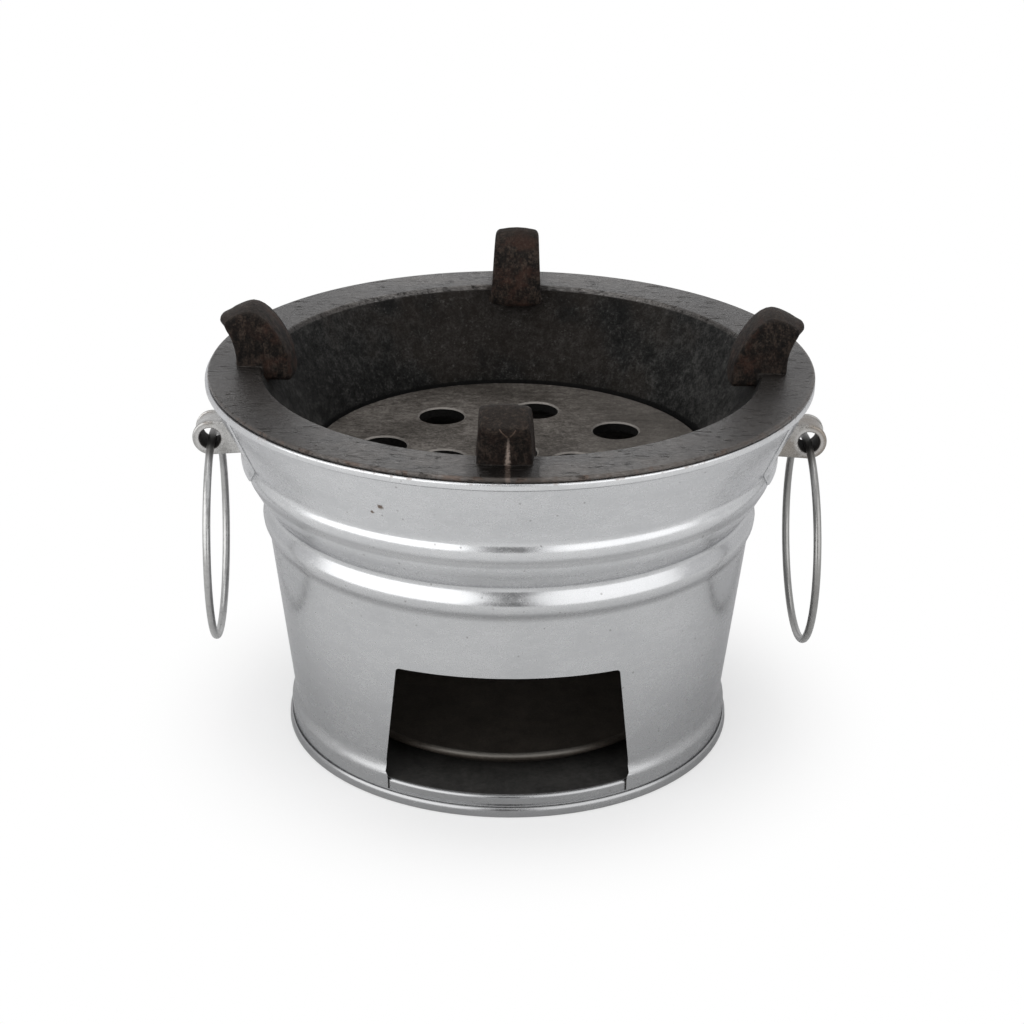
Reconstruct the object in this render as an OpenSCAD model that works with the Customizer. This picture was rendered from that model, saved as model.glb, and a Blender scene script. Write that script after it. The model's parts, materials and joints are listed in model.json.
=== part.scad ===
// Charcoal stove: a galvanised sheet bucket with an ash door and two drop rings. A cast iron
// fire bowl with four pan lugs hangs in its mouth, with a loose grate and, below, an ash tray.
// Millimetres, +Z up, origin on the floor under the centre, ash door facing -Y.

/* [Bucket] */
// Outer radius of the folded hem round the mouth
mouth_r = 150; // [140:1:180]
// Height of the hem's top above the floor
mouth_z = 189.8; // [175:0.1:230]
// Thickness of the galvanised sheet
sheet = 0.8; // [0.5:0.1:1]
// How much smaller the skirt's outer radius is at the foot than the hem's at the mouth
foot_inset = 37.7; // [30:0.1:45]
// Lean of the lower wall, radius gained per millimetre of height
wall_lean = 0.1182; // [0.08:0.0001:0.15]
// Height at which the lower bead starts
low_bead_z = 109.2; // [90:0.1:118]
// Height at which the upper bead starts
top_bead_z = 141; // [135:0.1:150]
// Height of the strip that is folded down as the hem
hem_h = 3.5; // [2.5:0.1:6]

/* [Foot and bottom pan] */
// Height of the pan's floor
pan_z = 11; // [8:0.5:14]
// Height of the hem that grips the skirt
foot_hem_h = 5.3; // [4:0.1:6]
// Height of the ridge above the foot hem
ridge_z = 13.5; // [13:0.5:16]
// Depth of the groove rolled above the ridge
groove = 1.5; // [0.5:0.1:2.5]

/* [Ash door] */
// Half the width of the door at its top
door_top_w = 53.2; // [40:0.1:58]
// Half the width of the door at the foot ridge
door_foot_w = 59.5; // [45:0.1:66]
// Height of the door's top edge at its middle
door_top_z = 77.5; // [60:0.5:100]

/* [Ash tray] */
// Gap between the tray's rim and the pan's wall
tray_gap = 21.45; // [4:0.05:40]
// How much wider the tray is at its rim than at its flat base
tray_flare = 10.2; // [6:0.1:20]
// Height of the middle of the rim's roll above the pan's floor
tray_h = 8.4; // [5:0.1:25]
// Diameter of the rim's roll
tray_roll_d = 3.6; // [2:0.1:5]

/* [Fire bowl] */
// Thickness of the flange where it lies on the hem
flange_t = 2.6; // [2:0.1:4]
// Width of the flange, from its outer edge in to the top of the cone
flange_w = 26; // [20:0.1:34]
// Distance from the bucket's wall in to the foot of the cone
bowl_inset = 28; // [20:0.1:38]
// Depth of the grate's seat below the flange's top
seat_depth = 52.9; // [35:0.1:60]
// Wall thickness of the casting
cast_t = 4.4; // [3:0.1:6]
// Width of the ledge that the grate lies on
ledge_w = 14; // [8:0.5:20]
// Turn of the loose bowl in the mouth
bowl_turn = -1.2; // [-45:0.1:45]
// Where the loose bowl lies in the gap round it, from -1 at the left to 1 at the right
bowl_side = 0.85; // [-0.9:0.05:0.9]

/* [Pan lugs] */
// Number of lugs
lug_n = 4; // [3:1:6]
// Height of the side lugs' crowns above the flange
lug_h = 28.5; // [24:0.1:40]
// Rise of the lugs' crowns from the front lug to the back one
lug_rise = 4.7; // [0:0.1:8]
// Distance from the top of the cone out to a lug's tip
lug_reach = 20.1; // [18:0.1:24]
// Half the width of a lug at the flange
lug_w = 12.6; // [9:0.1:16]

/* [Grate] */
// Thickness of the grate
grate_t = 5; // [3:0.5:8]
// Diameter of the holes
hole_d = 23.6; // [12:0.1:26]
// Diameter of the middle hole
mid_hole_d = 28; // [15:0.5:30]
// Radius of the outer ring of holes
hole_ring_r = 65; // [55:0.5:72]
// Radius of the inner ring of holes
inner_ring_r = 34; // [28:0.5:40]

/* [Ears and rings] */
// Height of the eye's axis above the start of the upper bead
ear_rise = 13.2; // [11:0.1:16]
// Distance from the bucket's wall to the eye's axis
ear_reach = 16.5; // [12:0.1:20]
// Diameter of the eye
eye_d = 10.8; // [8:0.1:12]
// Outer diameter of the ear's barrel
barrel_d = 17.8; // [15:0.1:22]
// Length of the barrel
barrel_l = 17.6; // [12:0.1:24]
// Diameter of the ring's wire
wire_d = 3.9; // [3:0.1:5]
// Radius of the ring at the middle of the wire
ring_r = 52.5; // [35:0.5:64]
// Turn of the rings about the vertical, as they hang
ring_yaw = 1.8; // [-3:0.1:3]
// Half the width of the ear's plate at its top
plate_top_w = 67; // [40:0.5:75]
// Half the width of the ear's plate at its foot
plate_foot_w = 47.5; // [30:0.5:60]

/* [Clearances] */
// Gap between sheets that are folded or riveted together
seam_gap = 0.05; // [0.02:0.01:0.1]
// Gap round the bowl's rebate in the mouth
bowl_gap = 0.8; // [0.4:0.1:2]
// Gap between the grate and the foot of the cone
grate_gap = 1.9; // [1.9:0.1:4]
// Gap under a loose piece, where it rests on another
rest_gap = 0.05; // [0.02:0.01:0.1]
// Least gap between a ring's wire and the wall of its eye
ring_gap = 0.3; // [0.3:0.05:1]

/* [Hidden] */
$fn = 120;

zinc = [0.72, 0.73, 0.74];
iron = [0.25, 0.22, 0.20];
ear_metal = [0.60, 0.59, 0.56];
wire_steel = [0.80, 0.80, 0.81];

// Foot seam: the pan's wall goes down inside the skirt, passes under it and is folded up outside it
foot_r = mouth_r - foot_inset;
channel_z = sheet + seam_gap;
pan_wall_r = foot_r - sheet - seam_gap;
foot_hem_r = foot_r + seam_gap + 2 * sheet;
groove_h = 8;
valley_z = ridge_z + groove_h;
valley_r = foot_r - groove;

// Places of the bowl, the grate, the tray, the ears and the rings
flange_foot_z = mouth_z + rest_gap;
flange_z = flange_foot_z + flange_t;
flange_r = mouth_r - 0.7;
hem_in_r = mouth_r - 3 * sheet;
bowl_top_r = flange_r - flange_w;
seat_z = flange_z - seat_depth;
grate_foot_z = seat_z + rest_gap;
grate_z = grate_foot_z + grate_t;
tray_z = pan_z + rest_gap;
tray_rim_r = pan_wall_r - tray_gap - tray_roll_d / 2;
tray_base_r = tray_rim_r - tray_flare;
ear_z = top_bead_z + ear_rise;
bore_drop = eye_d / 2 - wire_d / 2 - ring_gap - (ring_r - sqrt(ring_r * ring_r - barrel_l * barrel_l / 4));
ring_top_z = ear_z - bore_drop;
plate_lap = 5.5;
plate_hem_gap = 0.9;
plate_z0 = top_bead_z + plate_lap;
plate_z1 = mouth_z - hem_h - plate_hem_gap;

function polar(r, a) = [r * cos(a), r * sin(a)];
function arc(c, r, a0, a1, n = 6) = [for (i = [0 : n]) c + polar(r, a0 + (a1 - a0) * i / n)];
function bezier(a, b, c, d, n = 6) =
    [for (i = [0 : n - 1]) let (t = i / n, s = 1 - t)
        s * s * s * a + 3 * s * s * t * b + 3 * s * t * t * c + t * t * t * d];
function left_normal(v) = [-v[1], v[0]] / norm(v);
function reversed(p) = [for (i = [len(p) - 1 : -1 : 0]) p[i]];

// A line of points moved sideways by d, to the left of its direction, with mitred corners
function beside(p, d) =
    [for (i = [0 : len(p) - 1])
        let (n = len(p) - 1,
             a = left_normal(p[max(i, 1)] - p[max(i, 1) - 1]),
             b = left_normal(p[min(i, n - 1) + 1] - p[min(i, n - 1)]))
        p[i] + (a + b) * d / (1 + a * b)];

// A rolled bead: where its nose and the valley above it lie from its foot, as [out, up]
low_bead = [[2.9, 8], [-0.3, 15.8]];
top_bead = [[2.4, 7.4], [1.4, 11.9]];
bead_steps = 5;
flare_start = [0.4, 1.4];
function bead(foot, form) =
    let (nose = foot + form[0], valley = foot + form[1],
         rise = [0, nose[1] - foot[1]], back = [0, valley[1] - nose[1]])
    concat(bezier(foot, foot + 0.25 * rise, nose - 0.5 * rise, nose, bead_steps),
           bezier(nose, nose + 0.35 * back, valley - 0.35 * back, valley, bead_steps),
           [valley, valley + flare_start]);

// Outer outline of the bucket's wall, from the foot up, as [radius, height]. Its top end runs
// into the hem
groove_steps = 6;
bead_step = 9.6;
flare_bend = [5.8, 8.9];
hem_tuck = [1.5, 0.5];
low_bead_r = valley_r + wall_lean * (low_bead_z - valley_z);
top_bead_r = low_bead_r + bead_step;
wall_top = [mouth_r - hem_tuck[0], mouth_z - hem_h + hem_tuck[1]];
wall = concat(
    [[foot_r, channel_z]],
    [for (i = [0 : groove_steps])
        [foot_r - groove * (1 - cos(180 * i / groove_steps)) / 2,
         ridge_z + (valley_z - ridge_z) * i / groove_steps]],
    bead([low_bead_r, low_bead_z], low_bead),
    [[low_bead_r, (low_bead_z + top_bead_z) / 2] + flare_bend],
    bead([top_bead_r, top_bead_z], top_bead),
    [wall_top]);
function wall_at(z) = lookup(z, [for (p = wall) [p[1], p[0]]]);
ear_x = wall_at(ear_z) + ear_reach;
bowl_foot_r = wall_at(seat_z) - bowl_inset;

// The stretch of the wall's outline between two heights
function wall_between(z0, z1) =
    concat([[wall_at(z0), z0]], [for (p = wall) if (p[1] > z0 && p[1] < z1) p], [[wall_at(z1), z1]]);

// Sheet that follows a line of points, from d0 to d1 beside it
module sheet_ring(line, d0, d1, angle = 360) {
    rotate_extrude(angle = angle)
        polygon(concat(beside(line, d0), reversed(beside(line, d1))));
}

// Everything within the wall's outer face, grown outward by d
module wall_core(d) {
    line = beside(wall, -d);
    rotate_extrude()
        polygon(concat([[0, line[0][1]]], line, [[0, line[len(line) - 1][1]]]));
}

// Outline of the ash door as seen from the front, with a notch at the foot ridge
door_corner_r = 2;
door_bow = 1.2;
notch_w = 1.3;
module door_outline() {
    top_z = door_top_z - door_bow;
    foot_w = door_foot_w - notch_w;
    side = [[foot_w, foot_hem_h + 0.6], [foot_w, ridge_z - 0.5], [door_foot_w, ridge_z + 1.2]];
    corner = arc([door_top_w - door_corner_r, top_z - door_corner_r], door_corner_r, 6, 88);
    bow = [for (i = [3 : -1 : 1]) [i * door_top_w / 4, door_top_z - door_bow * pow(i / 4, 2)]];
    half = concat(side, corner, bow);
    polygon(concat(half, [[0, door_top_z]], [for (p = reversed(half)) [-p[0], p[1]]]));
}

// Rivet tenons of the ears stand square to the flare, two to an ear
tenon_r = 2.4;
tenon_y = 5;
tenon_z = ear_z + 5.6;
flare_tilt = atan((wall_top[0] - wall_at(tenon_z)) / (wall_top[1] - tenon_z));
module at_tenons(side) {
    for (y = [-tenon_y, tenon_y])
        mirror([side < 0 ? 1 : 0, 0, 0])
            translate([wall_at(tenon_z), y, tenon_z])
                rotate([0, 90 + flare_tilt, 0])
                    children();
}

// Lock seam that closes the sheet at the back
seam_w = 9;
seam_t = 0.9;
module lock_seam() {
    half_angle = seam_w / 2 / foot_r * 180 / PI;
    rotate([0, 0, 90 - half_angle])
        sheet_ring(wall_between(valley_z + 4, mouth_z - hem_h - 0.8), -seam_t, 0.3, 2 * half_angle);
}

module mouth_hem() {
    round_r = 0.9;
    top = mouth_z - round_r;
    foot = mouth_z - hem_h + round_r;
    rotate_extrude()
        polygon(concat([[hem_in_r, mouth_z - hem_h]],
                       arc([mouth_r - round_r, foot], round_r, -90, 0),
                       arc([mouth_r - round_r, top], round_r, 0, 90),
                       [[hem_in_r, mouth_z]]));
}

module bucket_shell() {
    color(zinc)
    difference() {
        union() {
            sheet_ring(wall, 0, sheet);
            mouth_hem();
            lock_seam();
        }
        translate([0, -foot_r / 2, 0])
            rotate([90, 0, 0])
                linear_extrude(height = mouth_r)
                    door_outline();
        for (side = [-1, 1])
            at_tenons(side)
                cylinder(r = tenon_r + seam_gap, h = 8, center = true);
    }
}

module bottom_pan() {
    edge_r = 1.8;
    fold_r = 1.1;
    in_r = pan_wall_r - sheet;
    leg_r = foot_r + seam_gap;
    lip_r = sheet - 0.1;
    color(zinc)
    rotate_extrude()
        polygon(concat(
            [[0, pan_z]],
            arc([pan_wall_r - edge_r, pan_z - edge_r], edge_r, 90, 0),
            [[pan_wall_r, channel_z], [leg_r, channel_z]],
            [[leg_r, foot_hem_h - lip_r]],
            bezier([leg_r + 0.1, foot_hem_h - lip_r / 2], [leg_r + 0.4, foot_hem_h + 0.1],
                   [foot_hem_r - 0.2, foot_hem_h - 0.2], [foot_hem_r, foot_hem_h - 3]),
            arc([foot_hem_r - fold_r, fold_r], fold_r, 0, -90),
            arc([in_r + sheet, sheet], sheet, -90, -180),
            arc([in_r - edge_r + sheet, pan_z - edge_r], edge_r - sheet, 0, 90),
            [[0, pan_z - sheet]]));
}

module ash_tray() {
    tray_sheet = 0.7;
    bend_r = 3;
    roll_z = tray_z + tray_h;
    line = concat([[0, tray_z]],
                  arc([tray_base_r, tray_z + bend_r], bend_r, -90, -45, 4),
                  [[tray_rim_r - tray_roll_d / 2 + 0.4, roll_z]]);
    color(zinc)
    union() {
        sheet_ring(line, 0, tray_sheet);
        rotate_extrude()
            translate([tray_rim_r, roll_z])
                circle(d = tray_roll_d, $fn = 32);
    }
}

// Outline of a pan lug along its middle, as [radius, height above the flange], anticlockwise
// from its outer foot
lug_tip_r = bowl_top_r + lug_reach;
lug_out_r = lug_tip_r - 8;
lug_peak_r = lug_tip_r - 15.5;
lug_in_r = lug_tip_r - 36.7;
lug_foot = -7.4;
lug_sink = -2.2;
lug_outline = concat(
    [[lug_out_r, lug_sink]],
    bezier([lug_out_r, 0], [lug_out_r, 5.8], [lug_out_r + 0.8, lug_h - 17.6], [lug_out_r + 3.4, lug_h - 13.1]),
    bezier([lug_out_r + 3.4, lug_h - 13.1], [lug_out_r + 4.8, lug_h - 10.7], [lug_tip_r - 1.2, lug_h - 9.6],
           [lug_tip_r - 0.4, lug_h - 7.9], 5),
    bezier([lug_tip_r - 0.4, lug_h - 7.9], [lug_tip_r + 0.4, lug_h - 6.2], [lug_tip_r - 1.3, lug_h - 5.6],
           [lug_tip_r - 3.4, lug_h - 4.6], 5),
    bezier([lug_tip_r - 3.4, lug_h - 4.6], [lug_tip_r - 7.6, lug_h - 2.6], [lug_peak_r + 3.8, lug_h - 0.1],
           [lug_peak_r, lug_h]),
    bezier([lug_peak_r, lug_h], [lug_peak_r - 7.8, lug_h - 0.3], [lug_peak_r - 15.2, lug_h - 12],
           [lug_in_r + 1.6, 5.3], 8),
    [[lug_in_r + 1.6, 5.3]],
    arc([lug_in_r + 2.4, lug_foot + 2.4], 2.4, 180, 270, 4),
    [[lug_in_r + 15.8, lug_foot], [lug_in_r + 19, lug_sink]]);

// Half width of a lug: wider towards the bowl and the foot, with a small fillet on the flange
function lug_half(p) =
    lug_w - 0.04 * max(p[1], 0) - 0.03 * (p[0] - lug_peak_r) + 0.07 * max(3 - p[1], 0);

// How far a lug's nose is drawn back at the sides, as seen from above
nose_back = 2;
function nose(p, side) =
    let (t = min(max((p[0] - lug_out_r - 1) / (lug_tip_r - lug_out_r - 1), 0), 1))
    nose_back * pow(side, 4) * t * t * (3 - 2 * t);

// A lug is lofted across its width from copies of its outline: three small ones that close each
// side, five round each rounded edge and three over the crowned middle, as [place across the
// width, turn of the edge, size]
module pan_lug(stretch) {
    edge_r = 2.6;
    crown = 0.045;
    core = [lug_peak_r - 4, 7.6];
    core_reach = 18;
    n = len(lug_outline);
    flat = 1 / (1 + crown);
    half_rings = concat([for (size = [0.2, 0.45, 0.7]) [1, 90, size * flat]],
                        [for (a = [90, 68, 45, 22, 0]) [1, a, (1 - edge_r * (1 - cos(a)) / core_reach) * flat]],
                        [[0.5, 0, 1 - crown / 4]]);
    rings = concat([for (h = half_rings) [-h[0], h[1], h[2]]], [[0, 0, 1]], reversed(half_rings));
    skin = [for (ring = rings, p = lug_outline)
        let (scaled = core + (p - core) * ring[2],
             q = [scaled[0] - nose(scaled, ring[0]), scaled[1]])
        [q[0], ring[0] * (lug_half(q) - edge_r * (1 - sin(ring[1]))), q[1] * (q[1] > 0 ? stretch : 1)]];
    hubs = [for (side = [-1, 1]) [core[0], side * lug_half(core), core[1] * stretch]];
    last = (len(rings) - 1) * n;
    sides = [for (j = [0 : len(rings) - 2], i = [0 : n - 1])
        let (a = j * n + i, b = j * n + (i + 1) % n)
        each [[a, b, b + n], [a, b + n, a + n]]];
    ends = [for (i = [0 : n - 1])
        each [[len(skin), (i + 1) % n, i], [len(skin) + 1, last + i, last + (i + 1) % n]]];
    translate([0, 0, flange_z])
        polyhedron(points = concat(skin, hubs), faces = concat(sides, ends), convexity = 4);
}

module fire_bowl() {
    lip_r = 1.2;
    mouth_edge_r = 1.2;
    rebate_h = 2.4;
    seat_h = 7.5;
    ledge_t = 5;
    draft = 0.4;
    rebate_r = hem_in_r - bowl_gap;
    rebate_z = flange_foot_z - rebate_h;
    cone_z = seat_z + seat_h;
    bowl_z = seat_z - ledge_t;
    lean = atan((bowl_top_r - bowl_foot_r) / (flange_z - cone_z));
    wall_w = cast_t / cos(lean);
    ledge_r = bowl_foot_r - draft - ledge_w;
    color(iron)
    translate([bowl_side * bowl_gap, 0, 0])
    union() {
        rotate([0, 0, bowl_turn])
            rotate_extrude()
                polygon(concat(
                    arc([flange_r - lip_r, flange_foot_z + lip_r], lip_r, -90, 0),
                    arc([flange_r - lip_r, flange_z - lip_r], lip_r, 0, 90),
                    arc([bowl_top_r + mouth_edge_r, flange_z - mouth_edge_r], mouth_edge_r, 90, 180 - lean),
                    [[bowl_foot_r, cone_z], [bowl_foot_r - draft, seat_z], [ledge_r + 1, seat_z],
                     [ledge_r, seat_z - 1], [ledge_r, bowl_z + 1], [ledge_r + 1, bowl_z]],
                    arc([bowl_foot_r + wall_w - 4.5, bowl_z + 4], 4, -90, -lean),
                    [[bowl_top_r + wall_w - 3, rebate_z - 6], [bowl_top_r + wall_w + 3, rebate_z],
                     [rebate_r, rebate_z], [rebate_r, flange_foot_z]]));
        for (i = [0 : lug_n - 1]) {
            turn = bowl_turn - 90 + i * 360 / lug_n;
            rotate([0, 0, turn])
                pan_lug(1 + lug_rise / 2 / lug_h * sin(turn));
        }
    }
}

// Holes of the grate: the outer ring, the three inner holes and the middle hole
grate_r = bowl_foot_r - 0.4 - grate_gap;
hole_shift = -5;
module grate_holes() {
    for (i = [0 : 7])
        translate(concat([0, hole_shift] + polar(hole_ring_r, -102 + 45 * i), 0))
            children(0);
    for (a = [-165, -20, 90])
        translate(concat(polar(inner_ring_r, a), 0))
            children(0);
    children(1);
}

module grate() {
    edge = 0.8;
    depth = grate_t + 2;
    color(iron)
    difference() {
        rotate_extrude()
            polygon([[0, grate_foot_z], [grate_r - edge, grate_foot_z], [grate_r, grate_foot_z + edge],
                     [grate_r, grate_z - edge], [grate_r - edge, grate_z], [0, grate_z]]);
        translate([0, 0, grate_foot_z - 1])
            grate_holes() {
                cylinder(d = hole_d, h = depth);
                cylinder(d = mid_hole_d, h = depth);
            }
        translate([0, 0, grate_z - edge])
            grate_holes() {
                cylinder(d1 = hole_d, d2 = hole_d + 4 * edge, h = 2 * edge);
                cylinder(d1 = mid_hole_d, d2 = mid_hole_d + 4 * edge, h = 2 * edge);
            }
    }
}

// Ear plate: sheet that lies on the flare and the upper bead's band, cut to a tapered outline
plate_corner_r = 3;
module ear_plate(side) {
    line = wall_between(plate_z0, plate_z1);
    reach = 40;
    span = 70;
    foot_y = plate_foot_w - plate_corner_r;
    color(zinc)
    difference() {
        intersection() {
            rotate([0, 0, side < 0 ? 180 - reach : -reach])
                sheet_ring(line, -seam_gap, -seam_gap - sheet, 2 * reach);
            rotate([90, 0, 90])
                linear_extrude(height = 2 * (mouth_r + span), center = true)
                    polygon(concat(
                        [[plate_top_w, plate_z1 + 1], [-plate_top_w, plate_z1 + 1]],
                        arc([-foot_y, plate_z0 + plate_corner_r], plate_corner_r, 200, 270, 4),
                        arc([foot_y, plate_z0 + plate_corner_r], plate_corner_r, 270, 340, 4)));
        }
        at_tenons(side)
            cylinder(r = tenon_r + seam_gap, h = 8, center = true);
    }
}

// Ear: a barrel round the eye and a web that seats on the plate, both with a rounded lip at
// each end, and two clenched tenons
lip_h = 0.5;
lip_w = 2.2;
lip_round = 1.1;
web_slope = 4;
eye_round = 0.6;

// Section through the ear's skin, as [distance from the eye's axis, place along it]
function ear_section(in_r) =
    let (half = barrel_l / 2, out_r = barrel_d / 2,
         lip = concat([[out_r - lip_h, half - lip_w - lip_h], [out_r, half - lip_w]],
                      arc([out_r - lip_round, half - lip_round], lip_round, 0, 90, 5), [[in_r, half]]))
    concat([for (p = reversed(lip)) [p[0], -p[1]]], lip);

module ear(side) {
    color(ear_metal)
    difference() {
        union() {
            mirror([side < 0 ? 1 : 0, 0, 0])
                difference() {
                    translate([ear_x, 0, ear_z])
                        ear_block();
                    wall_core(sheet + 2 * seam_gap);
                }
            at_tenons(side)
                ear_tenon();
        }
        translate([side * ear_x, 0, ear_z])
            rotate([90, 0, 0])
                eye_bore();
    }
}

// Barrel and web round the origin. The web lies between two slabs that touch the barrel: one
// level along the top, one that rises towards the wall underneath
module ear_block() {
    rotate([90, 0, 0])
        rotate_extrude()
            polygon(ear_section(eye_d / 2 - 1));
    intersection() {
        ear_slab();
        rotate([0, web_slope, 0])
            mirror([0, 0, 1])
                ear_slab();
    }
}

module ear_slab() {
    rotate([0, -90, 0])
        linear_extrude(height = ear_reach + 8)
            polygon(ear_section(-2 * barrel_d));
}

// The eye's bore, with rounded mouths
module eye_bore() {
    half = barrel_l / 2;
    wide = eye_d / 2 + eye_round;
    rotate_extrude()
        polygon(concat([[0, -half - 1], [wide, -half - 1]],
                       arc([wide, eye_round - half], eye_round, -90, -180, 4),
                       arc([wide, half - eye_round], eye_round, 180, 90, 4),
                       [[wide, half + 1], [0, half + 1]]));
}

// Tenon through plate and wall, with its head clenched inside the bucket
module ear_tenon() {
    head_r = 4.2;
    head_t = 1.6;
    cylinder(r = tenon_r, h = 2 * (sheet + 1.6), center = true);
    translate([0, 0, sheet + seam_gap])
        cylinder(r1 = head_r, r2 = head_r - 1, h = head_t);
}

module ring(side) {
    color(wire_steel)
    translate([side * ear_x, 0, ring_top_z - ring_r])
        rotate([0, 0, ring_yaw])
            rotate([0, 90, 0])
                rotate_extrude()
                    translate([ring_r, 0])
                        circle(d = wire_d, $fn = 24);
}

module ear_plate_left() { ear_plate(-1); }
module ear_plate_right() { ear_plate(1); }
module ear_left() { ear(-1); }
module ear_right() { ear(1); }
module ring_left() { ring(-1); }
module ring_right() { ring(1); }

bucket_shell();
bottom_pan();
ash_tray();
fire_bowl();
grate();
ear_plate_left();
ear_plate_right();
ear_left();
ear_right();
ring_left();
ring_right();
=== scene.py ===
import json
import math

import bmesh
import bpy
from mathutils import Matrix, Vector


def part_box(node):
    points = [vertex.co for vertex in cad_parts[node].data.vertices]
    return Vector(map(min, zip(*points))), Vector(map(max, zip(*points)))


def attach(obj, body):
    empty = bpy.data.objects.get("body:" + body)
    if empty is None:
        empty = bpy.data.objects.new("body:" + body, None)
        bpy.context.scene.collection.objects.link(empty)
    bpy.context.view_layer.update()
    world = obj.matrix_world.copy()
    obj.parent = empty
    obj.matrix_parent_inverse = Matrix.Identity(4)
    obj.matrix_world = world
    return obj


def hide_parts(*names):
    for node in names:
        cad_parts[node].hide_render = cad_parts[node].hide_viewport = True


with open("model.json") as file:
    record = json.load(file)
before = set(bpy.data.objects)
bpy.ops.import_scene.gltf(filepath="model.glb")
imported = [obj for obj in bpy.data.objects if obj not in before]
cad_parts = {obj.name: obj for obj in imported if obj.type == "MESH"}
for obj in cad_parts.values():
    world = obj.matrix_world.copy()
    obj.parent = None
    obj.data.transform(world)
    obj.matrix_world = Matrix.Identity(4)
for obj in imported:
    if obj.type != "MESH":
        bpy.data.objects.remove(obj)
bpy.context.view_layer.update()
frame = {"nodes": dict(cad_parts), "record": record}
scene = bpy.context.scene
scene.view_settings.view_transform = "Standard"

MM = 0.001


# Pieces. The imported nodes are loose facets, so each rolled, cast or folded piece is joined up in
# a copy with soft bends, and stands in its node's place

def joined(node, crease_degrees):
    """A copy of a node with its facets joined, soft across bends below crease_degrees."""
    mesh = frame["nodes"][node].data.copy()
    shape = bmesh.new()
    shape.from_mesh(mesh)
    bmesh.ops.remove_doubles(shape, verts=shape.verts[:], dist=0.004 * MM)
    bmesh.ops.dissolve_degenerate(shape, dist=0.002 * MM, edges=shape.edges[:])
    for face in shape.faces:
        face.smooth = True
    crease = math.radians(crease_degrees)
    for edge in shape.edges:
        edge.smooth = len(edge.link_faces) == 2 and edge.calc_face_angle() < crease
    shape.to_mesh(mesh)
    shape.free()
    if "custom_normal" in mesh.attributes:
        mesh.attributes.remove(mesh.attributes["custom_normal"])
    piece = bpy.data.objects.new(node + "_joined", mesh)
    scene.collection.objects.link(piece)
    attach(piece, frame_body(node))
    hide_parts(node)
    return piece


def frame_body(node):
    return next(body for body, members in frame["record"]["behaviour"]["bodies"].items() if node in members)


CREASES = {"bucket_shell": 32, "bottom_pan": 32, "ash_tray": 32, "fire_bowl": 30, "grate": 30,
           "ear_plate_left": 25, "ear_plate_right": 25, "ear_left": 30, "ear_right": 30}
pieces = {node: joined(node, crease) for node, crease in CREASES.items()}
pieces.update({node: frame["nodes"][node] for node in ("ring_left", "ring_right")})

# The step rolled above the foot, made short and steep with a proud ridge: how far the wall stands
# in from the skirt at each height
SKIRT_R = 112.28 * MM
FOOT_STEP = ((11.0, 0.0), (12.2, -0.30), (13.5, -0.08), (14.83, 0.42), (16.17, 0.92), (17.5, 1.37), (18.83, 1.72),
             (20.17, 1.66), (21.5, 1.5))


def step_in(height):
    """How far the outer face stands in from the skirt at a height, between the rows of FOOT_STEP."""
    for (low, inset), (high, next_inset) in zip(FOOT_STEP, FOOT_STEP[1:]):
        if low * MM <= height <= high * MM:
            return (inset + (next_inset - inset) * (height / MM - low) / (high - low)) * MM
    return None


def roll_foot_step(piece):
    """Moves the wall's two faces in or out to the step's outline."""
    shape = bmesh.new()
    shape.from_mesh(piece.data)
    for height, inset in FOOT_STEP[:2]:
        bmesh.ops.bisect_plane(shape, geom=shape.verts[:] + shape.edges[:] + shape.faces[:], dist=0.001 * MM,
                               plane_co=(0, 0, height * MM), plane_no=(0, 0, 1))
    for corner in shape.verts:
        inset = step_in(corner.co.z)
        reach = corner.co.xy.length
        if inset is not None and reach > SKIRT_R - 4 * MM:
            turn = math.pi * max(corner.co.z / MM - 13.5, 0) / 8
            corner.co.xy *= (reach + 1.5 * MM * (1 - math.cos(turn)) / 2 - inset) / reach
    shape.to_mesh(piece.data)
    shape.free()


roll_foot_step(pieces["bucket_shell"])


# Shader sockets as values

class Value:
    """An output socket of a material, which can be used in sums such as 1 - mask * 0.5."""

    def __init__(self, finish, socket):
        self.finish = finish
        self.socket = socket

    def maths(self, operation, *others):
        return self.finish.node("ShaderNodeMath", {"operation": operation}, [self, *others])

    def __add__(self, other): return self.maths("ADD", other)
    def __radd__(self, other): return self.maths("ADD", other)
    def __mul__(self, other): return self.maths("MULTIPLY", other)
    def __rmul__(self, other): return self.maths("MULTIPLY", other)
    def __sub__(self, other): return self.maths("SUBTRACT", other)
    def __rsub__(self, other): return self.finish.node("ShaderNodeMath", {"operation": "SUBTRACT"}, [other, self])
    def __truediv__(self, other): return self.maths("DIVIDE", other)
    def __pow__(self, other): return self.maths("POWER", other)
    def root(self): return self.maths("SQRT")
    def at_least(self, other): return self.maths("MAXIMUM", other)
    def at_most(self, other): return self.maths("MINIMUM", other)


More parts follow.
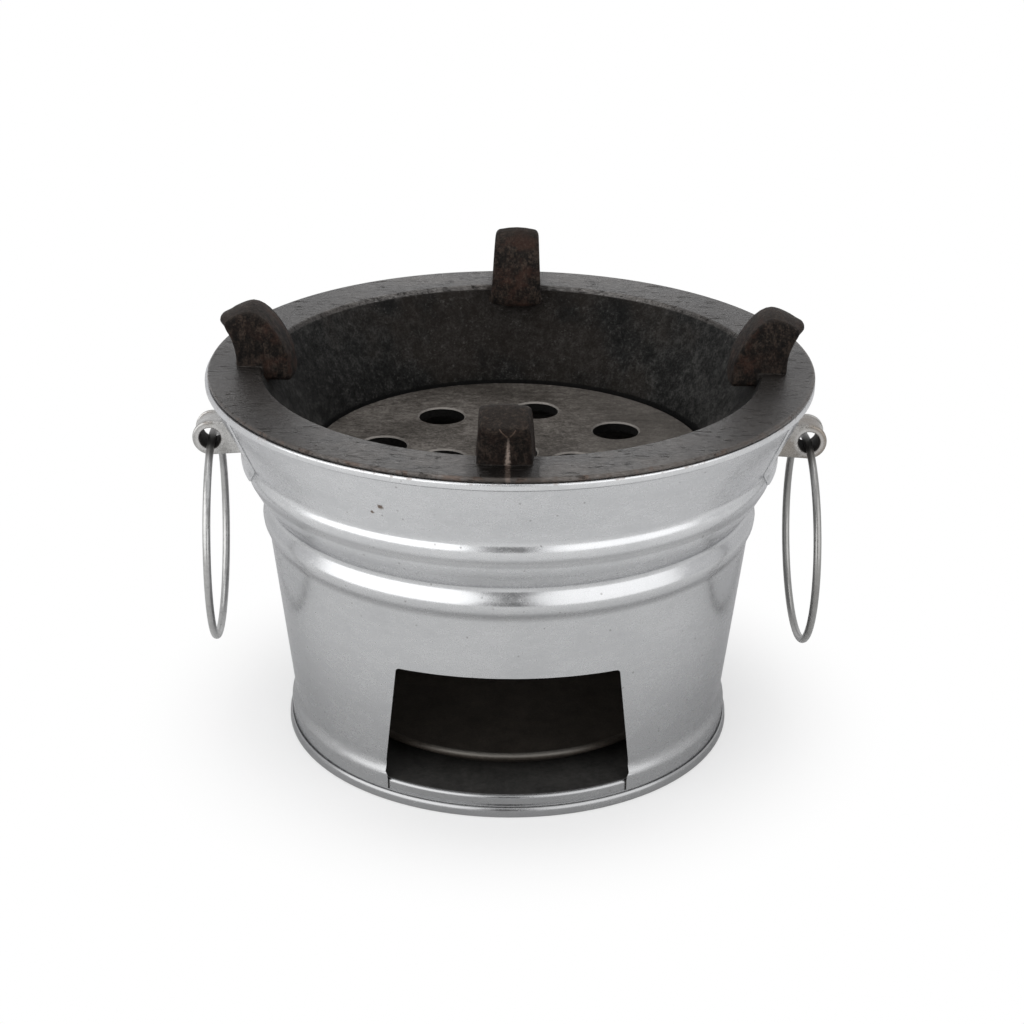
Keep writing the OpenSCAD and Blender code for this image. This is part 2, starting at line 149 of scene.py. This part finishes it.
class Finish:
    """A material being built from nodes."""

    def __init__(self, name, metallic=0.0, roughness=0.5):
        self.material = bpy.data.materials.new(name)
        self.material.use_nodes = True
        self.tree = self.material.node_tree
        self.shader = self.tree.nodes["Principled BSDF"]
        self.shader.inputs["Metallic"].default_value = metallic
        self.shader.inputs["Roughness"].default_value = roughness
        self.place = self.node("ShaderNodeTexCoord", output="Object")
        self.x, self.y, self.z = self.parts(self.place)
        self.facing = self.node("ShaderNodeTexCoord", output="Normal")

    def node(self, kind, settings=None, sockets=(), output=0):
        """Adds a node. Sockets are values, numbers or colours, as a list or by name."""
        made = self.tree.nodes.new(kind)
        for key, value in (settings or {}).items():
            if key == "stops":
                self.set_stops(made.color_ramp, value)
            else:
                setattr(made, key, value)
        pairs = sockets.items() if isinstance(sockets, dict) else enumerate(sockets)
        for key, value in pairs:
            if isinstance(value, Value):
                self.tree.links.new(value.socket, made.inputs[key])
            else:
                made.inputs[key].default_value = value
        return Value(self, made.outputs[output])

    def set_stops(self, ramp, stops):
        while len(ramp.elements) < len(stops):
            ramp.elements.new(1.0)
        for element, (position, colour) in zip(ramp.elements, stops):
            element.position = position
            element.color = (*colour, 1.0)

    def parts(self, vector):
        """The three parts of a vector, as values."""
        split = self.node("ShaderNodeSeparateXYZ", {}, [vector])
        return [Value(self, socket) for socket in split.socket.node.outputs]

    def radius(self):
        """Distance from the stove's upright axis."""
        return (self.x * self.x + self.y * self.y).root()

    def noise(self, scale, detail=4.0, roughness=0.55, stretch=(1, 1, 1), offset=(0, 0, 0)):
        """Soft noise from 0 to 1, with about scale lumps to a metre."""
        place = self.node("ShaderNodeMapping", {}, {"Vector": self.place, "Scale": stretch, "Location": offset})
        return self.node("ShaderNodeTexNoise", {"normalize": True},
                         {"Vector": place, "Scale": scale, "Detail": detail, "Roughness": roughness})

    def band(self, value, low, high):
        """0 below low, 1 above high, smooth between. With low above high it runs the other way."""
        settings = {"interpolation_type": "SMOOTHSTEP"}
        start, end = (0.0, 1.0) if low < high else (1.0, 0.0)
        return self.node("ShaderNodeMapRange", settings,
                         {"Value": value, "From Min": min(low, high), "From Max": max(low, high),
                          "To Min": start, "To Max": end})

    def colours(self, factor, *stops):
        """A colour for each value of factor."""
        return self.node("ShaderNodeValToRGB", {"stops": stops}, [factor])

    def mix(self, factor, a, b, blend="MIX"):
        colour_a, colour_b = (c if isinstance(c, Value) else (*c, 1.0) for c in (a, b))
        return self.node("ShaderNodeMix", {"data_type": "RGBA", "blend_type": blend},
                         {0: factor, 6: colour_a, 7: colour_b}, output=2)

    def bump(self, height, distance, strength=1.0, normal=None):
        sockets = {"Height": height, "Distance": distance, "Strength": strength}
        if normal:
            sockets["Normal"] = normal
        return self.node("ShaderNodeBump", {}, sockets)

    def wire(self, **sockets):
        """Links values to the shader's sockets, such as Base_Color=value."""
        for name, value in sockets.items():
            socket = self.shader.inputs[name.replace("_", " ")]
            if isinstance(value, Value):
                self.tree.links.new(value.socket, socket)
            else:
                socket.default_value = value
        return self.material


# Finishes. Lengths are in metres, from the middle of the foot

WALL_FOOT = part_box("bucket_shell")[0][2]
HEM_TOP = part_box("bucket_shell")[1][2]
HEM_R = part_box("bucket_shell")[1][0]
FLANGE_TOP = HEM_TOP + 2.65 * MM
BOWL_TOP_R = 123.3 * MM
GRATE_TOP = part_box("grate")[1][2]
BOWL_TURN = math.radians(-1.2)
SHELF_R = 111.9 * MM
LOW_BEAD_Z = 109.2 * MM
TOP_BEAD_Z = 141 * MM
SEAM_W = 9 * MM


def specks(f, scale, share, offset):
    """Scattered small spots: 1 in a spot, 0 between. A share of the cells has one."""
    place = f.node("ShaderNodeMapping", {}, {"Vector": f.place, "Location": offset})
    cells = f.node("ShaderNodeTexVoronoi", {}, {"Vector": place, "Scale": scale})
    pick = f.node("ShaderNodeTexVoronoi", {}, {"Vector": place, "Scale": scale}, output=1)
    chosen = f.band(f.parts(pick)[0], share, share - 0.02)
    return chosen * f.band(cells, 0.32, 0.12)


def spot(f, place, size):
    """One soft round spot round a place on the surface."""
    away = f.node("ShaderNodeVectorMath", {"operation": "DISTANCE"}, [f.place, place], output=1)
    ragged = away + 2.4 * size * (f.noise(900, detail=5, roughness=0.7) - 0.5)
    return f.band(ragged, size, 0.4 * size)


def galvanised(name, tone=1.0, sheen=0.26, relief=0.07 * MM):
    """Rolled zinc on sheet: fine cloudy mottle drawn out sideways, dull scuffs and a few rust spots, with painted
    shade under the beads, under the hem roll and towards the foot.
    """
    f = Finish(name, metallic=0.94)
    f.wire(Specular_Tint=(0.80, 0.80, 0.81, 1.0))
    cloud = f.noise(26, detail=6, roughness=0.62, stretch=(1, 1, 1.8))
    mottle = f.noise(160, detail=5, roughness=0.6, stretch=(1, 1, 2.2))
    grain = f.noise(1100, detail=3, roughness=0.6)
    level = 0.50 * cloud + 0.30 * mottle + 0.20 * grain
    base = f.colours(level, (0.34, (0.505 * tone, 0.512 * tone, 0.520 * tone)),
                     (0.5, (0.562 * tone, 0.568 * tone, 0.576 * tone)),
                     (0.66, (0.615 * tone, 0.620 * tone, 0.627 * tone)))
    scuff = f.band(f.noise(70, detail=7, roughness=0.75, stretch=(1, 1, 3), offset=(2, 5, 1)), 0.60, 0.78)
    pits = specks(f, 420, 0.035, (0.3, 0.1, 0.2))
    # Painted shade: a darker band under each bead
    bead_shade_line = (f.band(f.z, LOW_BEAD_Z - 1.5 * MM, LOW_BEAD_Z + 1 * MM) * f.band(f.z, LOW_BEAD_Z + 5.5 * MM, LOW_BEAD_Z + 3 * MM)
                  + f.band(f.z, TOP_BEAD_Z - 2 * MM, TOP_BEAD_Z) * f.band(f.z, TOP_BEAD_Z + 5 * MM, TOP_BEAD_Z + 2.5 * MM))
    # Painted shade: a dark line just under the hem roll
    hem_shade_line = f.band(f.z, HEM_TOP - 4.5 * MM, HEM_TOP - 4.0 * MM) * f.band(f.z, HEM_TOP - 3.1 * MM, HEM_TOP - 3.5 * MM)
    # Painted shade: the grey made darker below the beads and towards the foot
    darker_to_foot = f.band(f.z, 100 * MM, 12 * MM)
    below_beads = f.band(f.z, TOP_BEAD_Z + 8 * MM, LOW_BEAD_Z)
    # painted shade on the lower wall
    base = f.mix(0.24 * below_beads + 0.30 * darker_to_foot, base, (0.22, 0.22, 0.22))
    base = f.mix(0.22 * scuff, base, (0.36, 0.36, 0.35))
    # painted shade under the hem roll
    base = f.mix(0.65 * hem_shade_line, base, (0.10, 0.10, 0.10))
    base = f.mix(0.45 * pits, base, (0.12, 0.11, 0.10))
    # painted shade under the beads
    base = f.mix(0.35 * bead_shade_line, base, (0.20, 0.20, 0.20))
    rust = (spot(f, (-57.8 * MM, -127.2 * MM, 168.9 * MM), 2.0 * MM)
            + spot(f, (-61.7 * MM, -123.0 * MM, 164.6 * MM), 1.4 * MM)).at_most(1.0)
    by_hem = (f.band(f.z, HEM_TOP - 1.3 * MM, HEM_TOP - 0.5 * MM)
              * f.band(f.noise(170, detail=5, roughness=0.7, offset=(1, 8, 3)), 0.54, 0.62))
    base = f.mix(0.85 * rust, base, (0.10, 0.055, 0.025))
    base = f.mix(0.45 * by_hem, base, (0.24, 0.19, 0.16))
    rough = (sheen + 0.14 * (cloud - 0.5) + 0.16 * (mottle - 0.5) + 0.12 * (grain - 0.5)
             + 0.15 * scuff + 0.3 * rust + 0.3 * by_hem)
    normal = f.bump(0.55 * cloud + 0.35 * mottle + 0.10 * grain - 0.5 * pits, relief, strength=0.7)
    return f, base, rough, normal


def bucket_finish(name):
    """Bright outside; brown-black inside, sooty with painted shade."""
    f, base, rough, normal = galvanised(name)
    nx, ny, nz = f.parts(f.facing)
    outward = (nx * f.x + ny * f.y) / f.radius()
    inside = f.band(outward, -0.25, -0.6) * f.band(f.z, HEM_TOP - 2 * MM, HEM_TOP - 5 * MM)
    # Inside: sooty brown-black with painted shade
    soot_and_shade = f.colours(f.noise(45, detail=6), (0.35, (0.016, 0.013, 0.010)), (0.7, (0.050, 0.042, 0.034)))
    # Painted shade: a broken dark line along each edge of the seam at the back
    seam_shade_line = (f.band((f.x.maths("ABSOLUTE") - SEAM_W / 2).maths("ABSOLUTE"), 0.8 * MM, 0.3 * MM)
                 * f.band(f.y, 0.0, 50 * MM) * f.band(f.z, 23 * MM, 27 * MM))
    base = f.mix(0.5 * seam_shade_line * f.band(f.noise(120, detail=5), 0.36, 0.50), base, (0.16, 0.155, 0.15))
    base = f.mix(inside, base, soot_and_shade)
    f.wire(Metallic=0.94 - 0.84 * inside)
    return f.wire(Base_Color=base, Roughness=rough + 0.35 * inside, Normal=normal)


def pan_finish(name):
    """Bright hem and rounded front edge; floor dulled by ash, sooty, with painted shade."""
    f, base, rough, normal = galvanised(name, tone=0.80, sheen=0.24, relief=0.03 * MM)
    nz = f.parts(f.facing)[2]
    floor_part = f.band(f.radius(), SHELF_R - 1.4 * MM, SHELF_R - 2.3 * MM)
    ash = f.noise(500, detail=5, roughness=0.7)
    # The floor inside the skirt: ash and sooty dark with painted shade
    soot_and_shade = f.colours(0.6 * ash + 0.4 * f.noise(60, detail=4), (0.38, (0.017, 0.0165, 0.0155)), (0.66, (0.052, 0.050, 0.047)))
    base = f.mix(floor_part, base, soot_and_shade)
    f.wire(Metallic=0.94 - 0.7 * floor_part)
    return f.wire(Base_Color=base, Roughness=rough + 0.32 * floor_part, Normal=normal)


def sooty(name):
    """Tray sheet browned by heat and sooty, with painted shade; a painted highlight on the front of its rolled lip.
    """
    f = Finish(name)
    soot_and_shade = f.noise(90, detail=7, roughness=0.65)
    fine = f.noise(900, detail=3)
    # sooty near-black with painted shade
    base = f.colours(0.6 * soot_and_shade + 0.4 * fine, (0.36, (0.020, 0.016, 0.012)), (0.66, (0.060, 0.050, 0.040)))
    # Painted highlight on the front of the rolled lip, fading towards the left and right
    rim_highlight = (f.band(f.z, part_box("ash_tray")[1][2] - 1.8 * MM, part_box("ash_tray")[1][2] - 0.6 * MM)
           * f.band(f.y, -58 * MM, -76 * MM) * f.band(f.x.maths("ABSOLUTE"), 46 * MM, 24 * MM))
    base = f.mix(0.8 * rim_highlight, base, (0.17, 0.16, 0.145))
    return f.wire(Base_Color=base, Metallic=0.35 + 0.4 * rim_highlight, Roughness=0.55 + 0.2 * (soot_and_shade - 0.5),
                  Normal=f.bump(0.6 * soot_and_shade + 0.4 * fine, 0.0003))


def stroke(f, start, end, width, end_width=None):
    """A line drawn on the front lug's face, from start to end as (x, z)."""
    along = (end[0] - start[0], end[1] - start[1])
    length = along[0] ** 2 + along[1] ** 2
    t = (((f.x - start[0]) * along[0] + (f.z - start[1]) * along[1]) / length).at_least(0.0).at_most(1.0)
    off_x = f.x - start[0] - t * along[0]
    off_z = f.z - start[1] - t * along[1]
    reach = width + t * ((end_width or width) - width)
    ragged = (off_x * off_x + off_z * off_z).root() / reach + 1.3 * (f.noise(700, detail=4) - 0.5)
    return f.band(ragged, 1.0, 0.2)


def bowl_iron(name):
    """Cast iron, rough and black in the bowl, rubbed slate grey on the flange, brown on the lugs, with painted
    shade, highlight and reflection on the flange.
    """
    f = Finish(name)
    r = f.radius()
    nx, ny, nz = f.parts(f.facing)
    along = f.x * math.cos(BOWL_TURN) + f.y * math.sin(BOWL_TURN)
    across = f.y * math.cos(BOWL_TURN) - f.x * math.sin(BOWL_TURN)
    grain = f.noise(520, detail=8, roughness=0.72)
    lumps = f.noise(190, detail=5, roughness=0.6)
    patch = f.noise(32, detail=5, roughness=0.6)
    flecks = f.band(f.noise(640, detail=5, roughness=0.8, offset=(4, 2, 9)), 0.53, 0.66)

    lug_top = f.band(f.z, FLANGE_TOP + 0.1 * MM, FLANGE_TOP + 0.9 * MM)
    lug_foot = (f.band(f.z, FLANGE_TOP - 8.6 * MM, FLANGE_TOP - 7.6 * MM) * f.band(r, BOWL_TOP_R - 1.2 * MM, BOWL_TOP_R - 2.2 * MM)
                * f.band((along * across).maths("ABSOLUTE"), 1750 * MM * MM, 1650 * MM * MM))
    lug = (lug_top + lug_foot).at_most(1.0)
    flange = f.band(f.z, FLANGE_TOP - 2.6 * MM, FLANGE_TOP - 1.8 * MM) * (1.0 - lug)

    crust = f.noise(230, detail=9, roughness=0.82, stretch=(1, 1, 0.8), offset=(6, 1, 4))
    fine = f.noise(850, detail=4, roughness=0.8, offset=(8, 2, 1))
    wall_base = f.colours(0.50 * crust + 0.32 * fine + 0.18 * patch, (0.42, (0.003, 0.003, 0.003)), (0.49, (0.013, 0.013, 0.0125)),
                          (0.595, (0.068, 0.067, 0.064)))
    brown = f.band(f.y + 160 * MM * (patch - 0.5), 70 * MM, 112 * MM)
    wall_base = f.mix(0.55 * brown, wall_base, (0.020, 0.0145, 0.011))
    wall_base = f.mix(0.50 * flecks * f.band(lumps, 0.46, 0.60), wall_base, (0.130, 0.127, 0.120))

    streaks = f.noise(330, detail=5, roughness=0.65, stretch=(0.36, 1.5, 1), offset=(7, 3, 2))
    cracks = f.band(streaks, 0.41, 0.35)
    light_streaks = f.band(streaks, 0.55, 0.68)
    rubbed = f.band(patch, 0.42, 0.62)
    top_base = f.colours(0.5 * grain + 0.5 * lumps, (0.34, (0.050, 0.047, 0.045)), (0.70, (0.130, 0.125, 0.121)))
    top_base = f.mix(0.35 * rubbed, top_base, (0.150, 0.132, 0.118))
    top_base = f.mix(0.30 * light_streaks, top_base, (0.22, 0.21, 0.20))
    hair = f.noise(900, detail=5, roughness=0.75, stretch=(0.35, 1.3, 1), offset=(3, 8, 6))
    top_base = f.mix(0.72 * f.band(hair, 0.48, 0.38), top_base, (0.016, 0.0145, 0.013))
    top_base = f.mix(0.42 * f.band(hair, 0.53, 0.64), top_base, (0.27, 0.26, 0.25))
    top_base = f.mix(0.65 * cracks, top_base, (0.014, 0.013, 0.012))
    # Painted shade: the flange made darker towards its left and right
    flange_side_shade = f.band(f.x.maths("ABSOLUTE") + 60 * MM * (patch - 0.5), 62 * MM, 112 * MM)
    top_base = f.mix(0.70 * flange_side_shade, top_base, (0.032, 0.029, 0.027))
    # Painted highlight along the flange's rounded inner edge
    inner_edge_highlight = f.band(r, BOWL_TOP_R + 1.3 * MM, BOWL_TOP_R + 0.7 * MM) * f.band(nz, 0.35, 0.6)
    top_base = f.mix(0.12 * inner_edge_highlight * f.band(lumps, 0.42, 0.56), top_base, (0.26, 0.24, 0.22))
    # Darker on the flange round the lugs: sooty, with painted shade and painted reflection of the lugs
    lug_shade_and_soot = f.band(along.maths("ABSOLUTE").at_most(across.maths("ABSOLUTE")) + 7 * MM * (lumps - 0.5), 19 * MM, 14 * MM)
    top_base = f.mix(0.55 * lug_shade_and_soot, top_base, (0.022, 0.017, 0.014))

    drips = f.noise(260, detail=7, roughness=0.75, stretch=(1.6, 1.6, 0.5), offset=(2, 9, 5))
    lug_base = f.colours(0.38 * crust + 0.34 * drips + 0.28 * fine, (0.43, (0.0018, 0.0014, 0.0012)),
                         (0.50, (0.0095, 0.0070, 0.0057)), (0.575, (0.056, 0.041, 0.032)))
    # Up-facing lug faces lighter: wear, with painted light on the tops
    wear_and_painted_light = f.band(nz, 0.45, 0.95)
    lug_base = f.mix(0.40 * wear_and_painted_light, lug_base, (0.040, 0.032, 0.027))
    inner_slope = f.band(r, BOWL_TOP_R + 3 * MM, BOWL_TOP_R - 6 * MM)
    rust = f.band(f.noise(85, detail=7, roughness=0.72, offset=(9, 4, 1)), 0.46, 0.64)
    lug_base = f.mix(rust * (0.12 + 0.40 * inner_slope), lug_base, (0.062, 0.029, 0.020))
    lug_base = f.mix(0.40 * flecks, lug_base, (0.075, 0.062, 0.052))

    # Painted shade: near black in the gap where the bowl wall meets the grate
    crevice_shade = f.band(f.z, GRATE_TOP + 1.7 * MM, GRATE_TOP + 0.6 * MM)
    wall_base = f.mix(0.92 * crevice_shade, wall_base, (0.003, 0.003, 0.003))
    base = f.mix(flange, wall_base, top_base)
    base = f.mix(lug, base, lug_base)

    # A pale line with a forked top on the front lug's face, and on the flange before it a painted reflection of the
    # lug and of the line
    front = f.band(f.y, -BOWL_TOP_R - 3 * MM, -BOWL_TOP_R - 6 * MM)
    # Painted reflection: the front lug's dark face mirrored in the flange before it
    lug_reflection_patch = front * flange * f.band(f.x.maths("ABSOLUTE") + 3 * MM * (lumps - 0.5), 14 * MM, 12.6 * MM)
    base = f.mix(0.60 * lug_reflection_patch, base, (0.008, 0.0065, 0.0055))
    line = (stroke(f, (-0.5 * MM, 207 * MM), (-0.8 * MM, 193 * MM), 0.7 * MM, 1.7 * MM)
            * f.band(f.z, 211 * MM, 197 * MM) * (0.45 + 0.8 * f.band(grain, 0.40, 0.55)).at_most(1.0))
    fork = (stroke(f, (-1.1 * MM, 208.0 * MM), (-4.3 * MM, 212.6 * MM), 0.6 * MM, 0.4 * MM)
            + stroke(f, (0.2 * MM, 208.2 * MM), (2.6 * MM, 212.2 * MM), 0.6 * MM, 0.4 * MM)).at_most(1.0)
    base = f.mix(0.85 * front * lug_top * line, base, (0.42, 0.34, 0.29))
    base = f.mix(0.40 * front * lug_top * fork, base, (0.24, 0.17, 0.13))
    # Painted reflection of the pale line in the flange
    line_reflection = f.band((f.x + 0.7 * MM).maths("ABSOLUTE") + 1.6 * MM * (grain - 0.5), 1.5 * MM, 0.8 * MM)
    base = f.mix(0.45 * lug_reflection_patch * line_reflection, base, (0.26, 0.20, 0.17))

    edge = f.band(r, HEM_R - 2.4 * MM, HEM_R - 1.0 * MM)
    base = f.mix(0.35 * edge, base, (0.12, 0.105, 0.095))
    base = f.mix(0.5 * edge * f.band(f.noise(140, detail=6, roughness=0.75), 0.50, 0.64), base, (0.10, 0.060, 0.042))

    coarse = 1.0 - 0.78 * flange
    height = ((0.50 * (grain - 0.5) + 0.30 * (lumps - 0.5) + 0.45 * (crust - 0.5) + 0.7 * lug * (drips - 0.5)
               + 0.35 * (fine - 0.5)) * coarse
              + (0.22 * (hair - 0.5) - 0.35 * cracks) * flange)
    normal = f.bump(height, 1.8 * MM, strength=1.0)
    rough = 0.60 + 0.25 * (grain - 0.5) - 0.40 * flange * (1.0 - cracks) + 0.03 * lug
    f.wire(Specular_IOR_Level=0.17)
    return f.wire(Base_Color=base, Metallic=0.35 + 0.35 * flange, Roughness=rough, Normal=normal)


def grate_iron(name):
    """Burnt brown-grey casting, rough all over; sooty with painted shade in the holes, hole edges lighter from
    rubbing and a painted highlight.
    """
    f = Finish(name)
    nx, ny, nz = f.parts(f.facing)
    grain = f.noise(620, detail=7, roughness=0.7)
    crust = f.noise(250, detail=9, roughness=0.80, stretch=(0.7, 1.2, 1), offset=(1, 6, 3))
    patch = f.noise(30, detail=5)
    fine = f.noise(900, detail=4, roughness=0.8, stretch=(0.7, 1.2, 1), offset=(5, 3, 2))
    base = f.colours(0.42 * crust + 0.38 * fine + 0.20 * patch, (0.41, (0.026, 0.022, 0.018)),
                     (0.50, (0.088, 0.078, 0.068)), (0.59, (0.230, 0.210, 0.190)))
    base = f.mix(0.40 * f.band(f.x + 60 * MM * (patch - 0.5), 10 * MM, 80 * MM), base, (0.160, 0.147, 0.133))
    base = f.mix(0.75 * f.band(crust, 0.40, 0.33), base, (0.014, 0.012, 0.010))
    # Painted shade, sooty: the upright walls of the holes and the grate's edge near black
    hole_wall_shade = f.band(nz, 0.25, 0.1)
    # Sloping hole edges lighter: rubbing wear, with a painted highlight
    rubbed = f.band(nz, 0.3, 0.5) * f.band(nz, 0.95, 0.85)
    base = f.mix(0.6 * rubbed, base, (0.30, 0.28, 0.26))
    base = f.mix(0.30 * f.band(f.noise(520, detail=6, roughness=0.8, offset=(3, 3, 7)), 0.55, 0.68), base, (0.24, 0.22, 0.20))
    base = f.mix(hole_wall_shade, base, (0.003, 0.0026, 0.0022))
    rough = 0.50 + 0.25 * (grain - 0.5) + 0.3 * hole_wall_shade
    normal = f.bump(0.2 * grain + 0.5 * crust + 0.3 * fine, 1.0 * MM)
    f.wire(Specular_IOR_Level=0.2)
    return f.wire(Base_Color=base, Metallic=0.5 - 0.4 * hole_wall_shade, Roughness=rough.at_most(0.95), Normal=normal)


def grey_casting(name):
    """Ear: warm grey, smooth, with brown smudges, a painted highlight round the eye and painted shade inside it."""
    f = Finish(name)
    grain = f.noise(700, detail=6, roughness=0.65)
    patch = f.noise(95, detail=4)
    base = f.colours(0.4 * grain + 0.6 * patch, (0.35, (0.25, 0.245, 0.235)), (0.68, (0.50, 0.495, 0.485)))
    smudge = f.band(f.noise(70, detail=5, offset=(5, 2, 8)), 0.53, 0.68)
    base = f.mix(0.6 * smudge, base, (0.17, 0.135, 0.105))
    brown = f.band(f.x, 0.0, 60 * MM) * f.band(f.noise(45, detail=5, offset=(2, 7, 3)), 0.36, 0.58)
    base = f.mix(0.70 * brown, base, (0.20, 0.172, 0.145))
    across = f.x.maths("ABSOLUTE") - EYE_X
    up = f.z - EYE_Z
    from_eye = (across * across + up * up).root()
    # Painted highlight: a light ring round the eye
    rim_highlight = f.band(from_eye, EYE_R + 2.6 * MM, EYE_R + 1.2 * MM)
    base = f.mix(0.45 * rim_highlight, base, (0.62, 0.61, 0.60))
    # Painted shade: near black inside the eye
    soot_and_shade = f.band(from_eye, EYE_R + 0.6 * MM, EYE_R + 0.1 * MM)
    base = f.mix(0.93 * soot_and_shade, base, (0.020, 0.016, 0.013))
    return f.wire(Base_Color=base, Metallic=0.85 - 0.6 * soot_and_shade, Roughness=0.28 + 0.3 * (grain - 0.5) + 0.3 * soot_and_shade,
                  Normal=f.bump(grain, 0.00012))


def bright_wire(name):
    """Ring: dull drawn wire; painted shade on the right-hand ring and where the wire runs in the eye."""
    f = Finish(name, metallic=1.0)
    draw = f.noise(420, detail=5, roughness=0.65)
    dull = f.noise(60, detail=4)
    base = f.colours(0.5 * draw + 0.5 * dull, (0.35, (0.31, 0.31, 0.305)), (0.65, (0.45, 0.45, 0.445)))
    # Painted shade: the right-hand ring made darker
    base = f.mix(0.55 * f.band(f.x, 0.0, 60 * MM), base, (0.19, 0.185, 0.175))
    # Painted shade where the wire runs in the eye, with wear
    wear_and_painted_light = f.band(f.z, RING_TOP - 6.5 * MM, RING_TOP - 2.5 * MM)
    base = f.mix(0.75 * wear_and_painted_light, base, (0.07, 0.066, 0.060))
    return f.wire(Base_Color=base, Roughness=0.30 + 0.16 * (draw - 0.5) + 0.1 * wear_and_painted_light, Normal=f.bump(draw, 0.00004))


def middle(node):
    low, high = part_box(node)
    return [(a + b) / 2 for a, b in zip(low, high)]


RING_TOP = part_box("ring_right")[1][2]
EYE_X = middle("ring_right")[0]
EYE_Z = 154.2 * MM
EYE_R = 5.4 * MM

plate, plate_base, plate_rough, plate_normal = galvanised("galvanised_plate", tone=1.03)
finishes = {
    "bucket_shell": bucket_finish("galvanised_sheet"),
    "bottom_pan": pan_finish("galvanised_pan"),
    "ash_tray": sooty("sooty_sheet"),
    "fire_bowl": bowl_iron("cast_iron_bowl"),
    "grate": grate_iron("cast_iron_grate"),
    "ear_plate": plate.wire(Base_Color=plate_base, Roughness=plate_rough, Normal=plate_normal),
    "ear": grey_casting("cast_ear"),
    "ring": bright_wire("ring_wire"),
}
for node, piece in pieces.items():
    kind = node.removesuffix("_left").removesuffix("_right")
    for slot in piece.material_slots:
        slot.material = finishes[kind]


# Camera, at the photograph's viewing angle

FRAME_PX = 1024
FOCAL_PX = 2323.55
SENSOR_MM = 36.0
CAMERA_PLACE = Vector((0.0, -1.082797, 0.582602))
CAMERA_PITCH = 0.4102869
CAMERA_YAW = 0.00139049
CAMERA_ROLL = 0.00760284

camera = bpy.data.objects.new("camera", bpy.data.cameras.new("camera"))
camera.data.sensor_width = SENSOR_MM
camera.data.lens = SENSOR_MM * FOCAL_PX / FRAME_PX
camera.matrix_world = (Matrix.Translation(CAMERA_PLACE) @ Matrix.Rotation(-CAMERA_YAW, 4, "Z")
                       @ Matrix.Rotation(math.pi / 2 - CAMERA_PITCH, 4, "X")
                       @ Matrix.Rotation(CAMERA_ROLL, 4, "Z"))
scene.collection.objects.link(camera)
scene.camera = camera


# Light, floor and backdrop

def softbox(name, place, aim, size, watts):
    lamp = bpy.data.lights.new(name, "AREA")
    lamp.shape = "RECTANGLE"
    lamp.size, lamp.size_y = size
    lamp.energy = watts
    holder = bpy.data.objects.new(name, lamp)
    holder.location = place
    holder.rotation_euler = (Vector(aim) - Vector(place)).to_track_quat("-Z", "Y").to_euler()
    scene.collection.objects.link(holder)


softbox("overhead", (0, 0.25, 1.5), (0, 0, 0.1), (1.5, 1.0), 6)
softbox("left_front", (-1.17, -0.90, 0.75), (0, 0, 0.12), (2.4, 1.6), 18.5)
softbox("right_front", (1.07, -1.00, 0.75), (0, 0, 0.12), (2.0, 1.6), 10.5)


class Backdrop(Finish):
    """The world's own nodes, built like a finish."""

    def __init__(self, world):
        world.use_nodes = True
        self.tree = world.node_tree
        self.material = world
        self.shader = self.tree.nodes["Background"]
        self.towards = self.node("ShaderNodeTexCoord", output="Generated")


def seen_rays(finish):
    """1 for what the camera sees straight and 1 for what shows in metal, as two values."""
    camera_ray = finish.node("ShaderNodeLightPath", output="Is Camera Ray")
    mirrored = [Value(finish, camera_ray.socket.node.outputs[name]) for name in ("Is Glossy Ray", "Is Transmission Ray")]
    return camera_ray, (mirrored[0] + mirrored[1]).at_most(1.0)


# White for the camera. Metal mirrors it too, but for the dark gap between the two front lamps,
# where the camera stands
ROOM_LEVEL = (0.44, 0.44, 0.445)

world = bpy.data.worlds.new("studio")
scene.world = world
room = Backdrop(world)
seen, mirrored = seen_rays(room)
east, north, up = room.parts(room.towards)
gap = (room.band(east.maths("ABSOLUTE"), 0.21, 0.11) * room.band(north, 0.0, -0.3)
       * room.band(up, 0.80, 0.62))
mirror_level = room.mix(gap, (0.84, 0.84, 0.85), (0.03, 0.03, 0.03))
light = room.mix(mirrored, ROOM_LEVEL, mirror_level)
light = room.mix(seen, light, (1.0, 1.0, 1.0))
room.wire(Color=light, Strength=1.0)

floor_mesh = bpy.data.meshes.new("floor")
shape = bmesh.new()
bmesh.ops.create_grid(shape, x_segments=1, y_segments=1, size=6.0)
shape.to_mesh(floor_mesh)
shape.free()
floor = bpy.data.objects.new("floor", floor_mesh)
scene.collection.objects.link(floor)
floor_finish = Finish("white_floor", roughness=0.9)
floor_finish.wire(Base_Color=(0.86, 0.86, 0.86, 1.0))
seen, mirrored = seen_rays(floor_finish)
r = floor_finish.radius()
# White to the camera, keeping the stove's shadow near it; to metal it glows white far off and, as a painted pool of
# light, just in front of the stove, more on the left
whiten = (seen * (0.54 + 0.46 * floor_finish.band(r, 0.105, 0.20))
          + mirrored * (0.60 * floor_finish.band(r, 0.22, 0.55) + floor_finish.band(r, 0.13, 0.21)
                        * floor_finish.band(floor_finish.y, 0.06, -0.06)
                        * (0.30 + 0.16 * floor_finish.band(floor_finish.x, 0.02, -0.10))))
glow = floor_finish.node("ShaderNodeEmission", {}, {"Color": (1.0, 1.0, 1.0, 1.0), "Strength": 1.0})
surface = floor_finish.node("ShaderNodeMixShader", {}, {0: whiten})
floor_finish.tree.links.new(floor_finish.shader.outputs[0], surface.socket.node.inputs[1])
floor_finish.tree.links.new(glow.socket, surface.socket.node.inputs[2])
floor_finish.tree.links.new(surface.socket, floor_finish.tree.nodes["Material Output"].inputs["Surface"])
floor.data.materials.append(floor_finish.material)
